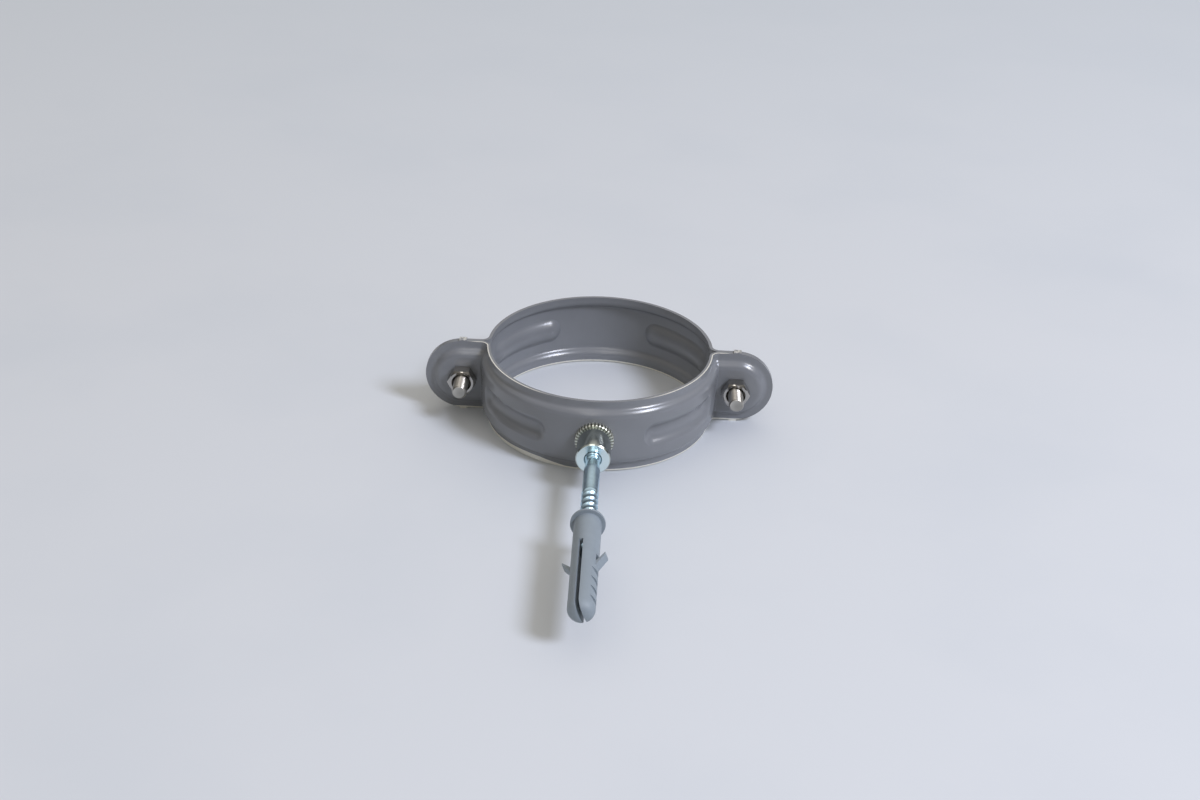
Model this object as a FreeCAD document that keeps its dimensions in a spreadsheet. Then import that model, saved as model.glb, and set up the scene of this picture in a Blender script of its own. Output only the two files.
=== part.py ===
import FreeCAD, Part
import math
import os
import re
import Sketcher
from FreeCAD import Placement, Rotation, Vector

# Two-piece clamp for an 87 mm downpipe, on a hanger screw with its wall plug. Millimetres.
# The pipe runs along Z, the origin is where the pipe axis meets the screw axis at half
# the band's width, the screw points to -Y and the clamp parts at the plane y = 0.

doc = FreeCAD.newDocument("downpipe_bracket")

sizes = [
    ("ring_radius", 43.5, "pipe radius, where the two rims of the band bear"),
    ("sheet_thick", 1.25, "steel sheet"),
    ("band_width", 30.0, "width of the band and of the ears"),
    ("lip_width", 2.9, "flat rim beside the raised web"),
    ("slope_width", 1.9, "pressed slope between rim and web"),
    ("web_rise", 2.3, "how far the web stands out from the rims"),
    ("press_radius", 1.9, "inside radius of the pressed corners"),
    ("bend_radius", 4.2, "bend from ring to ear, at the inner face of the rim"),
    ("ear_reach", 11.0, "clamp bolt beyond the pipe's surface"),
    ("ear_hole", 6.6, "bolt hole in the ears, diameter"),
    ("bead_half", 4.7, "half the width of the pressed-in bead, where its flanks would meet the web"),
    ("bead_slope", 36.0, "slope of its flanks, degrees"),
    ("bead_lead", 6.0, "slope with which its shoulders run out on the web, degrees"),
    ("bead_round", 5.1, "outside radius of its bottom and its shoulders"),
    ("bead_start", 29.0, "start of the bead, degrees from the middle of the half"),
    ("bead_end", 65.0, "end of the bead, degrees from the middle of the half"),
    ("nub_width", 3.0, "sheared tie stub at the top and bottom of each ear"),
    ("nub_rise", 0.6, "how far a tie stub stands out"),
    ("boss_reach", 14.4, "end of the boss above the web"),
    ("boss_width", 13.0, "boss diameter"),
    ("boss_bevel", 0.4, "bevel at the end of the boss"),
    ("rim_width", 14.7, "knurled rim diameter"),
    ("rim_thick", 2.0, "knurled rim thickness"),
    ("rim_bevel", 0.3, "bevel round the front of the rim"),
    ("knurl_teeth", 34, "teeth round the rim"),
    ("knurl_depth", 0.5, "depth of the knurl"),
    ("spigot_width", 10.0, "rivet spigot through the sheet, diameter"),
    ("spigot_gap", 0.05, "gap round the spigot"),
    ("flare_width", 11.8, "closed head of the spigot inside the band"),
    ("flare_rise", 0.9, "height of that head"),
    ("flare_bevel", 0.3, "bevel of that head"),
    ("machine_width", 6.0, "machine thread of the hanger screw, over the crests"),
    ("thread_gap", 0.05, "running gap of a thread in its nut"),
    ("screw_inset", 1.0, "screw end short of the pipe"),
    ("screw_length", 80.5, "hanger screw, end to end"),
    ("neck_width", 4.9, "relief behind the machine thread"),
    ("neck_length", 2.5, "relief in front of the boss"),
    ("neck_inset", 0.8, "relief inside the boss mouth"),
    ("taper_length", 6.5, "taper from relief to shank"),
    ("shank_width", 6.1, "plain shank"),
    ("wood_length", 44.7, "wood thread, with its point"),
    ("wood_width", 5.4, "wood thread at half depth"),
    ("wood_runout", 1.5, "run-out of the wood thread"),
    ("point_length", 9.0, "tapered point"),
    ("point_width", 0.8, "end of the point"),
    ("screw_exposed", 42.0, "screw between boss and plug"),
    ("collar_width", 12.4, "plug collar"),
    ("collar_thick", 1.0, "plug collar"),
    ("plug_width", 9.8, "plug body behind the collar"),
    ("plug_tip_width", 9.3, "plug body at its nose"),
    ("plug_length", 53.0, "plug, end to end"),
    ("nose_radius", 3.5, "rounded nose of the plug"),
    ("plug_turn", -21.0, "turn of the plug on the screw, degrees"),
    ("grip_gap", 0.05, "gap between the plain thread zone and the plug"),
    ("pilot_width", 3.2, "bore of the plug beyond the screw"),
    ("pilot_wall", 4.0, "closed end of the plug's bore"),
    ("slit_width", 1.5, "slit between the plug's two legs"),
    ("slit_start", 16.0, "slit begins behind the collar's face"),
    ("tongue_start", 22.6, "free end of the locking tongues, from the collar's face"),
    ("tongue_run", 5.2, "length of a tongue along the plug"),
    ("tongue_reach", 2.8, "free end of a tongue out of the plug"),
    ("tongue_thick", 1.1, "tongue"),
    ("tongue_width", 3.0, "tongue"),
    ("tooth_count", 4, "locking teeth down each flank"),
    ("tooth_start", 31.0, "first tooth, from the collar's face"),
    ("tooth_pitch", 5.2, "spacing of the teeth"),
    ("tooth_run", 2.3, "sloped back of a tooth"),
    ("tooth_depth", 1.2, "depth of a tooth"),
    ("hex_flats", 10.0, "bolt head and nut across flats"),
    ("head_height", 4.0, "bolt head"),
    ("nut_height", 5.0, "nut"),
    ("bolt_width", 5.9, "clamp bolt thread, over the crests"),
    ("bolt_length", 20.0, "clamp bolt under its head"),
    ("bolt_bevel", 0.45, "bevel at the bolt's end"),
    ("nut_bevel", 0.9, "countersink of the nut's bore"),
]
params = doc.addObject("Spreadsheet::Sheet", "params")
for row, (alias, size, meaning) in enumerate(sizes, 1):
    params.set("A%d" % row, alias)
    params.set("B%d" % row, str(size))
    params.setAlias("B%d" % row, alias)
    params.set("C%d" % row, meaning)
doc.recompute()
aliases = {alias for alias, size, meaning in sizes}

# Places that several pieces share, as distances from the pipe axis.
web_inside = "(ring_radius + web_rise)"
web_outside = "(ring_radius + web_rise + sheet_thick)"
boss_end = "(ring_radius + web_rise + sheet_thick + boss_reach)"
plug_face = "(ring_radius + web_rise + sheet_thick + boss_reach + screw_exposed)"
screw_end = "(ring_radius + screw_inset + screw_length)"
pad_face = "(web_rise + sheet_thick)"
ear_centre = "(ring_radius + ear_reach)"


def bound(text):
    """The expression with each size read from the spreadsheet."""
    return re.sub(r"[a-z_]+", lambda m: "params." + m.group() if m.group() in aliases else m.group(), text)


def number(text):
    return float(params.evalExpression(text))


def new_body(name):
    body = doc.addObject("PartDesign::Body", name)
    body.Label = name
    return body


def plane(body, role):
    return next(feature for feature in body.Origin.OriginFeatures if feature.Role == role)


def new_sketch(body, name, role, shift="0", turn=None):
    """A sketch on one of the body's planes, shifted along its normal or turned about its upright."""
    sketch = body.newObject("Sketcher::SketchObject", name)
    sketch.AttachmentSupport = [(plane(body, role), "")]
    sketch.MapMode = "FlatFace"
    if turn:
        sketch.AttachmentOffset = Placement(Vector(), Rotation(Vector(0, 1, 0), number(turn)))
        sketch.setExpression(".AttachmentOffset.Rotation.Angle", bound(turn))
    sketch.setExpression(".AttachmentOffset.Base.z", bound(shift))
    return sketch


def drive(sketch, kind, where, text):
    """A dimension of the sketch, bound to the spreadsheet."""
    index = sketch.addConstraint(Sketcher.Constraint(kind, *where, number(text)))
    sketch.setExpression("Constraints[%d]" % index, bound(text))


def add_arc(sketch, centre, radius, start, end):
    """An arc that runs anticlockwise from start to end."""
    low = math.atan2(start.y - centre.y, start.x - centre.x)
    high = math.atan2(end.y - centre.y, end.x - centre.x)
    if high < low:
        high += 2 * math.pi
    return sketch.addGeometry(Part.ArcOfCircle(Part.Circle(centre, Vector(0, 0, 1), radius), low, high))


def outline(sketch, corners):
    """A closed outline through corners (x, y, radius); a radius of None leaves the corner sharp."""
    count = len(corners)
    tips = [Vector(number(x), number(y), 0) for x, y, radius in corners]
    rounds = []
    for i, (x, y, radius) in enumerate(corners):
        to_last = (tips[i - 1] - tips[i]).normalize()
        to_next = (tips[(i + 1) % count] - tips[i]).normalize()
        half = to_last.getAngle(to_next) / 2
        size = number(radius) if radius else 0.0
        cut = size / math.tan(half)
        rounds.append((
            tips[i] + to_last * cut,
            tips[i] + to_next * cut,
            tips[i] + (to_last + to_next).normalize() * (size / math.sin(half)) if radius else tips[i],
            to_last.cross(to_next).z < 0,
        ))
    lines = []
    for i in range(count):
        lines.append(sketch.addGeometry(Part.LineSegment(rounds[i][1], rounds[(i + 1) % count][0])))
    for i, (x, y, radius) in enumerate(corners):
        before, after = lines[i - 1], lines[i]
        if radius is None:
            sketch.addConstraint(Sketcher.Constraint("Coincident", before, 2, after, 1))
            drive(sketch, "DistanceX", (-1, 1, after, 1), x)
            drive(sketch, "DistanceY", (-1, 1, after, 1), y)
            continue
        arrive, leave, centre, leftward = rounds[i]
        start, end = (arrive, leave) if leftward else (leave, arrive)
        arc = add_arc(sketch, centre, number(radius), start, end)
        tip = sketch.addGeometry(Part.Point(tips[i]), True)
        sketch.addConstraint(Sketcher.Constraint("Tangent", before, 2, arc, 1 if leftward else 2))
        sketch.addConstraint(Sketcher.Constraint("Tangent", after, 1, arc, 2 if leftward else 1))
        sketch.addConstraint(Sketcher.Constraint("PointOnObject", tip, 1, before))
        sketch.addConstraint(Sketcher.Constraint("PointOnObject", tip, 1, after))
        drive(sketch, "DistanceX", (-1, 1, tip, 1), x)
        drive(sketch, "DistanceY", (-1, 1, tip, 1), y)
        drive(sketch, "Radius", (arc,), radius)


def circle(sketch, x, y, radius):
    ring = sketch.addGeometry(Part.Circle(Vector(number(x), number(y), 0), Vector(0, 0, 1), number(radius)))
    drive(sketch, "DistanceX", (-1, 1, ring, 3), x)
    drive(sketch, "DistanceY", (-1, 1, ring, 3), y)
    drive(sketch, "Radius", (ring,), radius)


def bead_section(sketch, depth, chord, half=False):
    """The bead's section at the given depth below the sheet's outer face, closed by a chord; or its upper half."""
    side = ("(bead_half + %s * (1 / cos(bead_slope) - 1 / cos(bead_lead)) / (tan(bead_slope) - tan(bead_lead)))"
            % depth)
    shoulder = "(%s + (%s - bead_half) * tan(bead_lead) - %s / cos(bead_lead))" % (web_outside, side, depth)
    tip = "(%s - bead_half * tan(bead_slope) - %s / cos(bead_slope))" % (web_outside, depth)
    end = "(%s + (%s - %s) / tan(bead_lead))" % (side, chord, shoulder)
    wide, narrow = "(bead_round + %s)" % depth, "(bead_round - %s)" % depth
    if not half:
        outline(sketch, [
            (chord, "-" + end, None),
            (chord, end, None),
            (shoulder, side, narrow),
            (tip, "0", wide),
            (shoulder, "-" + side, narrow),
        ])
        return
    slope, lead = math.radians(number("bead_slope")), math.radians(number("bead_lead"))
    flank, run = Vector(math.sin(slope), math.cos(slope), 0), Vector(math.sin(lead), math.cos(lead), 0)
    low, high = Vector(number(tip), 0, 0), Vector(number(shoulder), number(side), 0)
    centre = low + Vector(number(wide) / math.cos(slope), 0, 0)
    nose = centre - Vector(number(wide), 0, 0)
    rise = low + flank * (number(wide) * math.tan(slope))
    cut = number(narrow) * math.tan((slope - lead) / 2)
    crest = high + Vector(-math.cos(lead), math.sin(lead), 0) * number(narrow) + run * cut
    corner, foot = Vector(number(chord), number(end), 0), Vector(number(chord), 0, 0)
    bottom = add_arc(sketch, centre, number(wide), rise, nose)
    wall = sketch.addGeometry(Part.LineSegment(rise, high - flank * cut))
    top = add_arc(sketch, crest, number(narrow), high - flank * cut, high + run * cut)
    lines = [sketch.addGeometry(Part.LineSegment(*ends))
             for ends in ((high + run * cut, corner), (corner, foot), (foot, nose))]
    mark = sketch.addGeometry(Part.Point(high), True)
    root = sketch.addGeometry(Part.Point(low), True)
    for kind, *where in (
        ("Tangent", wall, 1, bottom, 1), ("Tangent", wall, 2, top, 1), ("Tangent", lines[0], 1, top, 2),
        ("Coincident", lines[0], 2, lines[1], 1), ("Coincident", lines[1], 2, lines[2], 1),
        ("Coincident", lines[2], 2, bottom, 2), ("Vertical", lines[1]), ("Horizontal", lines[2]),
        ("PointOnObject", bottom, 3, -1), ("PointOnObject", lines[2], 1, -1), ("PointOnObject", root, 1, -1),
        ("PointOnObject", root, 1, wall), ("PointOnObject", mark, 1, wall), ("PointOnObject", mark, 1, lines[0]),
    ):
        sketch.addConstraint(Sketcher.Constraint(kind, *where))
    drive(sketch, "DistanceX", (-1, 1, root, 1), tip)
    drive(sketch, "DistanceX", (-1, 1, mark, 1), shoulder)
    drive(sketch, "DistanceY", (-1, 1, mark, 1), side)
    drive(sketch, "DistanceX", (-1, 1, lines[0], 2), chord)
    drive(sketch, "DistanceY", (-1, 1, lines[0], 2), end)
    drive(sketch, "Radius", (bottom,), wide)
    drive(sketch, "Radius", (top,), narrow)


def feature(body, kind, name, sketch, **settings):
    """A PartDesign feature. A setting given as text is an expression on the spreadsheet."""
    before = 0.0 if body.Shape.isNull() else body.Shape.Volume
    made = body.newObject("PartDesign::" + kind, name)
    made.Profile = sketch
    for setting, chosen in settings.items():
        if isinstance(chosen, str) and setting not in ("Type", "SideType"):
            made.setExpression(setting, bound(chosen))
        else:
            setattr(made, setting, chosen)
    doc.recompute()
    change = body.Shape.Volume - before
    adds = kind in ("Pad", "Revolution")
    if change * (1 if adds else -1) < 1e-3:
        raise RuntimeError("%s in %s changes the volume by %.4f" % (name, body.Name, change))
    return made


def sheet_half(sign=1):
    """Half of the pressed sheet's section, as (height, across, radius) from web to rim and back."""
    rim = "band_width / 2"
    foot = "(band_width / 2 - lip_width)"
    head = "(band_width / 2 - lip_width - slope_width)"
    lean = "sheet_thick * (sqrt(web_rise ^ 2 + slope_width ^ 2) - slope_width) / web_rise"
    inner, outer = "press_radius", "press_radius + sheet_thick"
    points = [
        ("web_rise + sheet_thick", head, outer),
        ("sheet_thick", foot, inner),
        ("sheet_thick", rim, None),
        ("0", rim, None),
        ("0", "%s - %s" % (foot, lean), outer),
        ("web_rise", "%s - %s" % (head, lean), inner),
    ]
    return [(height, "%d * (%s)" % (sign, across), radius) for height, across, radius in points]


def sheet_section(sketch, base, half=False):
    """The section of the sheet: rim, slope, web, slope, rim, its heights put into base."""
    loop = sheet_half()
    if half:
        loop = [("web_rise + sheet_thick", "0", None)] + loop + [("web_rise", "0", None)]
    else:
        loop += list(reversed(sheet_half(-1)))
    outline(sketch, [(base % height, across, radius) for height, across, radius in loop])


def clamp_half(name):
    """One pressed half: ring, bends and ears from one section, modelled on +X and mirrored."""
    body = new_body(name)
    tangent = "asin(bend_radius / (ring_radius + bend_radius))"
    to_tangent = "acos(bend_radius / (ring_radius + bend_radius))"
    bend_x = "sqrt(ring_radius ^ 2 + 2 * ring_radius * bend_radius)"

    ring = new_sketch(body, "band_section", "YZ_Plane")
    sheet_section(ring, "-(ring_radius + %s)")
    feature(body, "Revolution", "band", ring, ReferenceAxis=(ring, ["V_Axis"]), Angle=to_tangent)

    bend = new_sketch(body, "bend_section", "XZ_Plane", turn="-" + tangent)
    sheet_section(bend, "ring_radius + %s")
    middle = number("ring_radius + bend_radius")
    ends = Vector(middle, -number("bend_radius") / 2, 0), Vector(middle, number("bend_radius") / 2, 0)
    axis = bend.addGeometry(Part.LineSegment(*ends), True)
    bend.addConstraint(Sketcher.Constraint("Symmetric", axis, 1, axis, 2, -1))
    drive(bend, "DistanceX", (-1, 1, axis, 1), "ring_radius + bend_radius")
    drive(bend, "DistanceY", (axis, 1, axis, 2), "bend_radius")
    feature(body, "Revolution", "bend", bend, ReferenceAxis=(bend, ["Axis0"]), Angle=to_tangent,
            Reversed=True)

    ear = new_sketch(body, "ear_section", "YZ_Plane", shift=bend_x)
    sheet_section(ear, "-(%s)")
    feature(body, "Pad", "ear", ear, Length="%s - %s" % (ear_centre, bend_x))

    ear_end = new_sketch(body, "ear_end_section", "YZ_Plane", shift=ear_centre)
    sheet_section(ear_end, "-(%s)", half=True)
    feature(body, "Revolution", "ear_end", ear_end, ReferenceAxis=(ear_end, ["H_Axis"]), Angle=180)

    for place, sign in (("top", 1), ("bottom", -1)):
        nub = new_sketch(body, place + "_nub_outline", "XZ_Plane")
        inside, outside = "%d * (band_width / 2 - nub_rise)", "%d * (band_width / 2 + nub_rise)"
        outline(nub, [
            (ear_centre + " - nub_width / 2", inside % sign, None),
            (ear_centre + " + nub_width / 2", inside % sign, None),
            (ear_centre + " + nub_width / 2", outside % sign, None),
            (ear_centre + " - nub_width / 2", outside % sign, None),
        ])
        feature(body, "Pad", place + "_nub", nub, Length="sheet_thick")

    press_bead(body)

    hole = new_sketch(body, "bolt_hole_outline", "XZ_Plane")
    circle(hole, ear_centre, "0", "ear_hole / 2")
    feature(body, "Pocket", "bolt_hole", hole, Type="ThroughAll", SideType="Symmetric")

    mirror = body.newObject("PartDesign::Mirrored", "other_side")
    mirror.MirrorPlane = (plane(body, "YZ_Plane"), [""])
    mirror.TransformMode = "Whole shape"
    body.Tip = mirror
    doc.recompute()
    return body


def press_bead(body):
    """The bead pressed into the web beside the middle: a ridge inside, then a groove outside."""
    tools = [
        ("ridge", "Revolution", "sheet_thick", "(%s + sheet_thick / 4)" % web_inside),
        ("groove", "Groove", "0", "(%s + sheet_thick / 4)" % web_outside),
    ]
    for name, kind, depth, chord in tools:
        run = new_sketch(body, name + "_section", "XZ_Plane", turn="bead_start - 90")
        bead_section(run, depth, chord)
        feature(body, kind, name, run, ReferenceAxis=(run, ["V_Axis"]), Angle="bead_end - bead_start")
        for end, angle, back in (("start", "bead_start - 90", False), ("end", "bead_end - 90", True)):
            cap = new_sketch(body, "%s_%s_section" % (name, end), "XZ_Plane", turn=angle)
            bead_section(cap, depth, chord, half=True)
            feature(body, kind, "%s_%s" % (name, end), cap, ReferenceAxis=(cap, ["H_Axis"]), Angle=180,
                    Reversed=back)


def threaded_boss():
    """Turned boss with a knurled rim, riveted through the front half."""
    body = new_body("threaded_boss")
    rim_front = "(%s + rim_thick)" % web_outside

    turned = new_sketch(body, "turned_section", "XY_Plane")
    outline(turned, [
        ("0", "-" + web_inside, None),
        ("rim_width / 2", "-" + web_inside, None),
        ("rim_width / 2", "-(%s - rim_bevel)" % rim_front, None),
        ("rim_width / 2 - rim_bevel", "-%s" % rim_front, None),
        ("boss_width / 2", "-%s" % rim_front, None),
        ("boss_width / 2", "-(%s - boss_bevel)" % boss_end, None),
        ("boss_width / 2 - boss_bevel", "-%s" % boss_end, None),
        ("0", "-%s" % boss_end, None),
    ])
    feature(body, "Revolution", "turned_body", turned, ReferenceAxis=(turned, ["V_Axis"]), Angle=360)

    saddle = new_sketch(body, "saddle_outline", "XY_Plane")
    circle(saddle, "0", "0", web_outside)
    feature(body, "Pocket", "saddle", saddle, Type="ThroughAll", SideType="Symmetric")

    tooth = new_sketch(body, "knurl_outline", "XZ_Plane", shift=rim_front)
    half_tooth = "rim_width / 2 * sin(180 / knurl_teeth)"
    outline(tooth, [
        ("-" + half_tooth, "rim_width / 2 + rim_bevel", None),
        ("0", "rim_width / 2 - knurl_depth", None),
        (half_tooth, "rim_width / 2 + rim_bevel", None),
    ])
    notch = feature(body, "Pocket", "knurl_notch", tooth, Length="%s - %s" % (rim_front, web_inside))
    knurl = body.newObject("PartDesign::PolarPattern", "knurl")
    knurl.Originals = [notch]
    knurl.Axis = (tooth, ["N_Axis"])
    knurl.Angle = 360
    knurl.setExpression("Occurrences", bound("knurl_teeth"))
    body.Tip = knurl
    doc.recompute()

    rivet = new_sketch(body, "rivet_section", "XY_Plane")
    outline(rivet, [
        ("0", "-(%s - flare_rise)" % web_inside, None),
        ("flare_width / 2 - flare_bevel", "-(%s - flare_rise)" % web_inside, None),
        ("flare_width / 2", "-(%s - flare_rise + flare_bevel)" % web_inside, None),
        ("spigot_width / 2", "-%s" % web_inside, None),
        ("spigot_width / 2", "-(%s + rim_thick / 2)" % web_outside, None),
        ("0", "-(%s + rim_thick / 2)" % web_outside, None),
    ])
    feature(body, "Revolution", "rivet", rivet, ReferenceAxis=(rivet, ["V_Axis"]), Angle=360)

    bore = new_sketch(body, "bore_section", "XY_Plane")
    wall = "machine_width / 2 + thread_gap"
    outline(bore, [
        ("0", "-(%s - 2 * flare_rise)" % web_inside, None),
        (wall, "-(%s - 2 * flare_rise)" % web_inside, None),
        (wall, "-(%s - boss_bevel)" % boss_end, None),
        (wall + " + boss_bevel", "-%s" % boss_end, None),
        ("0", "-%s" % boss_end, None),
    ])
    feature(body, "Groove", "bore", bore, ReferenceAxis=(bore, ["V_Axis"]), Angle=360)
    return body


def hanger_screw():
    """Screw with a machine thread in the boss and a wood thread in the plug, both plain here."""
    body = new_body("hanger_screw")
    profile = new_sketch(body, "screw_section", "XY_Plane")
    start = "(ring_radius + screw_inset)"
    machine = "machine_width / 2"
    relief = "(machine_width - neck_width) / 2"
    outline(profile, [
        ("0", "-" + start, None),
        ("neck_width / 2", "-" + start, None),
        (machine, "-(%s + %s)" % (start, relief), None),
        (machine, "-(%s - neck_inset - %s)" % (boss_end, relief), None),
        ("neck_width / 2", "-(%s - neck_inset)" % boss_end, None),
        ("neck_width / 2", "-(%s + neck_length)" % boss_end, None),
        ("shank_width / 2", "-(%s + neck_length + taper_length)" % boss_end, None),
        ("shank_width / 2", "-(%s - wood_length)" % screw_end, None),
        ("wood_width / 2", "-(%s - wood_length + wood_runout)" % screw_end, None),
        ("wood_width / 2", "-(%s - point_length)" % screw_end, None),
        ("point_width / 2", "-%s" % screw_end, None),
        ("0", "-%s" % screw_end, None),
    ])
    feature(body, "Revolution", "screw", profile, ReferenceAxis=(profile, ["V_Axis"]), Angle=360)
    return body


def wall_plug():
    """Moulded expansion plug: collar, two legs, two locking tongues and toothed flanks."""
    body = new_body("wall_plug")
    along = "-(" + plug_face + " + %s)"
    side = "plug_width / 2"

    shell = new_sketch(body, "plug_section", "XY_Plane")
    outline(shell, [
        ("0", along % "0", None),
        ("collar_width / 2", along % "0", None),
        ("collar_width / 2", along % "collar_thick", None),
        (side, along % "collar_thick", None),
        ("plug_tip_width / 2", along % "plug_length", "nose_radius"),
        ("0", along % "plug_length", None),
    ])
    feature(body, "Revolution", "plug", shell, ReferenceAxis=(shell, ["V_Axis"]), Angle=360)

    recess = new_sketch(body, "tongue_recess_outline", "XY_Plane")
    for sign in (1, -1):
        outline(recess, [
            ("%d * (%s - tongue_thick)" % (sign, side), along % "tongue_start", None),
            ("%d * (%s + tongue_thick)" % (sign, side), along % "tongue_start", None),
            ("%d * (%s + tongue_thick)" % (sign, side), along % "(tongue_start + tongue_run)", None),
            ("%d * (%s - tongue_thick)" % (sign, side), along % "(tongue_start + tongue_run)", None),
        ])
    feature(body, "Pocket", "tongue_recess", recess, Length="tongue_width", SideType="Symmetric")

    tongue = new_sketch(body, "tongue_outline", "XY_Plane")
    for sign in (1, -1):
        outline(tongue, [
            ("%d * (%s + tongue_reach)" % (sign, side), along % "tongue_start", None),
            ("%d * (%s + tongue_reach)" % (sign, side), along % "(tongue_start + tongue_thick)", None),
            ("%d * (%s - tongue_thick / 2)" % (sign, side), along % "(tongue_start + tongue_run + tongue_thick)",
             None),
            ("%d * (%s - tongue_thick - tongue_thick / 2)" % (sign, side), along % "(tongue_start + tongue_run)",
             None),
        ])
    feature(body, "Pad", "tongues", tongue, Length="tongue_width", SideType="Symmetric")

    flank = new_sketch(body, "tooth_outline", "XY_Plane")
    for sign in (1, -1):
        for step in range(int(params.tooth_count)):
            root = "tooth_start + %d * tooth_pitch" % step
            outline(flank, [
                ("%d * (%s + tooth_depth)" % (sign, side), along % root, None),
                ("%d * (%s - tooth_depth)" % (sign, side), along % root, None),
                ("%d * (%s + tooth_depth)" % (sign, side), along % ("(%s + 2 * tooth_run)" % root), None),
            ])
    feature(body, "Pocket", "teeth", flank, Type="ThroughAll", SideType="Symmetric")

    bore = new_sketch(body, "bore_section", "XY_Plane")
    grip = "(wood_width / 2 + grip_gap)"
    beyond_screw = "-(" + screw_end + " + %s)"
    outline(bore, [
        ("0", along % "0", None),
        (grip, along % "0", None),
        (grip, beyond_screw % "wood_runout", None),
        ("pilot_width / 2", beyond_screw % "2 * wood_runout", None),
        ("pilot_width / 2", along % "(plug_length - pilot_wall)", None),
        ("0", along % "(plug_length - pilot_wall)", None),
    ])
    feature(body, "Groove", "bore", bore, ReferenceAxis=(bore, ["V_Axis"]), Angle=360)

    slit = new_sketch(body, "slit_outline", "YZ_Plane")
    outline(slit, [
        (along % "slit_start", "-collar_width", None),
        (along % "(plug_length + nose_radius)", "-collar_width", None),
        (along % "(plug_length + nose_radius)", "collar_width", None),
        (along % "slit_start", "collar_width", None),
    ])
    feature(body, "Pocket", "slit", slit, Length="slit_width", SideType="Symmetric")
    body.Placement = Placement(Vector(), Rotation(Vector(0, 1, 0), number("plug_turn")))
    body.setExpression("Placement.Rotation.Angle", bound("plug_turn"))
    return body


def hexagon(sketch):
    """Corners to the left and right, flats at top and bottom."""
    reach = "hex_flats / sqrt(3)"
    outline(sketch, [("%s * cos(%d)" % (reach, a), "%s * sin(%d)" % (reach, a), None) for a in range(0, 360, 60)])


def corner_bevels(body, faces):
    """Takes the hexagon's corners off at each end face, given as (place, way into the piece)."""
    ends = new_sketch(body, "corner_bevel_section", "XY_Plane")
    start, reach = "hex_flats * 0.475", "hex_flats * 0.6"  # just inside the flats, just past the corners
    for place, inward in faces:
        outline(ends, [
            (start, place, None),
            (reach, place, None),
            (reach, "%s + %d * (%s - %s) * tan(30)" % (place, inward, reach, start), None),
        ])
    feature(body, "Groove", "corner_bevels", ends, ReferenceAxis=(ends, ["V_Axis"]), Angle=360)


def clamp_bolt(name, side):
    """Hexagon bolt, put in from the rear half."""
    body = new_body(name)
    top = "(%s + head_height)" % pad_face
    head = new_sketch(body, "head_outline", "XZ_Plane", shift="-" + top)
    hexagon(head)
    feature(body, "Pad", "head", head, Length="head_height")
    corner_bevels(body, [(top, -1)])

    shank = new_sketch(body, "shank_section", "XY_Plane")
    outline(shank, [
        ("0", pad_face, None),
        ("0", "%s - bolt_length" % pad_face, None),
        ("bolt_width / 2 - bolt_bevel", "%s - bolt_length" % pad_face, None),
        ("bolt_width / 2", "%s - bolt_length + bolt_bevel" % pad_face, None),
        ("bolt_width / 2", pad_face, None),
    ])
    feature(body, "Revolution", "shank", shank, ReferenceAxis=(shank, ["V_Axis"]), Angle=360)
    body.setExpression("Placement.Base.x", bound("%d * %s" % (side, ear_centre)))
    return body


def clamp_nut(name, side):
    """Hexagon nut against the front ear."""
    body = new_body(name)
    block = new_sketch(body, "nut_outline", "XZ_Plane", shift=pad_face)
    hexagon(block)
    feature(body, "Pad", "block", block, Length="nut_height")
    corner_bevels(body, [("-" + pad_face, -1), ("-(%s + nut_height)" % pad_face, 1)])

    bore = new_sketch(body, "bore_section", "XY_Plane")
    wall = "bolt_width / 2 + thread_gap"
    outline(bore, [
        ("0", "-" + pad_face, None),
        (wall + " + nut_bevel", "-" + pad_face, None),
        (wall, "-(%s + nut_bevel)" % pad_face, None),
        (wall, "-(%s + nut_height - nut_bevel)" % pad_face, None),
        (wall + " + nut_bevel", "-(%s + nut_height)" % pad_face, None),
        ("0", "-(%s + nut_height)" % pad_face, None),
    ])
    feature(body, "Groove", "bore", bore, ReferenceAxis=(bore, ["V_Axis"]), Angle=360)
    body.setExpression("Placement.Base.x", bound("%d * %s" % (side, ear_centre)))
    return body


front = clamp_half("front_clamp_half")
rivet_hole = new_sketch(front, "rivet_hole_outline", "XZ_Plane")
circle(rivet_hole, "0", "0", "spigot_width / 2 + spigot_gap")
feature(front, "Pocket", "rivet_hole", rivet_hole, Type="ThroughAll", SideType="Symmetric")

rear = clamp_half("rear_clamp_half")
rear.Placement = Placement(Vector(), Rotation(Vector(0, 0, 1), 180))

pieces = [
    front,
    rear,
    threaded_boss(),
    hanger_screw(),
    wall_plug(),
    clamp_bolt("clamp_bolt_left", -1),
    clamp_bolt("clamp_bolt_right", 1),
    clamp_nut("clamp_nut_left", -1),
    clamp_nut("clamp_nut_right", 1),
]
doc.recompute()

for thing in doc.Objects:
    if "Invalid" in thing.State or "Error" in thing.State:
        raise RuntimeError("%s failed: %s" % (thing.Label, thing.State))
for piece in pieces:
    if piece.Shape.isNull() or not piece.Shape.isValid() or len(piece.Shape.Solids) != 1:
        raise RuntimeError("%s isn't one valid solid" % piece.Label)

os.makedirs("parts", exist_ok=True)
for piece in pieces:
    piece.Shape.exportStep("parts/%s.step" % piece.Label)
    box = piece.Shape.BoundBox
    print("%-18s %10.1f mm3  X %.2f %.2f  Y %.2f %.2f  Z %.2f %.2f" % (
        piece.Label, piece.Shape.Volume, box.XMin, box.XMax, box.YMin, box.YMax, box.ZMin, box.ZMax))
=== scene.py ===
# Downpipe bracket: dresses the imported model, in metres, round its own frame.
import math

import bpy
from mathutils import Matrix, Vector


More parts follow.
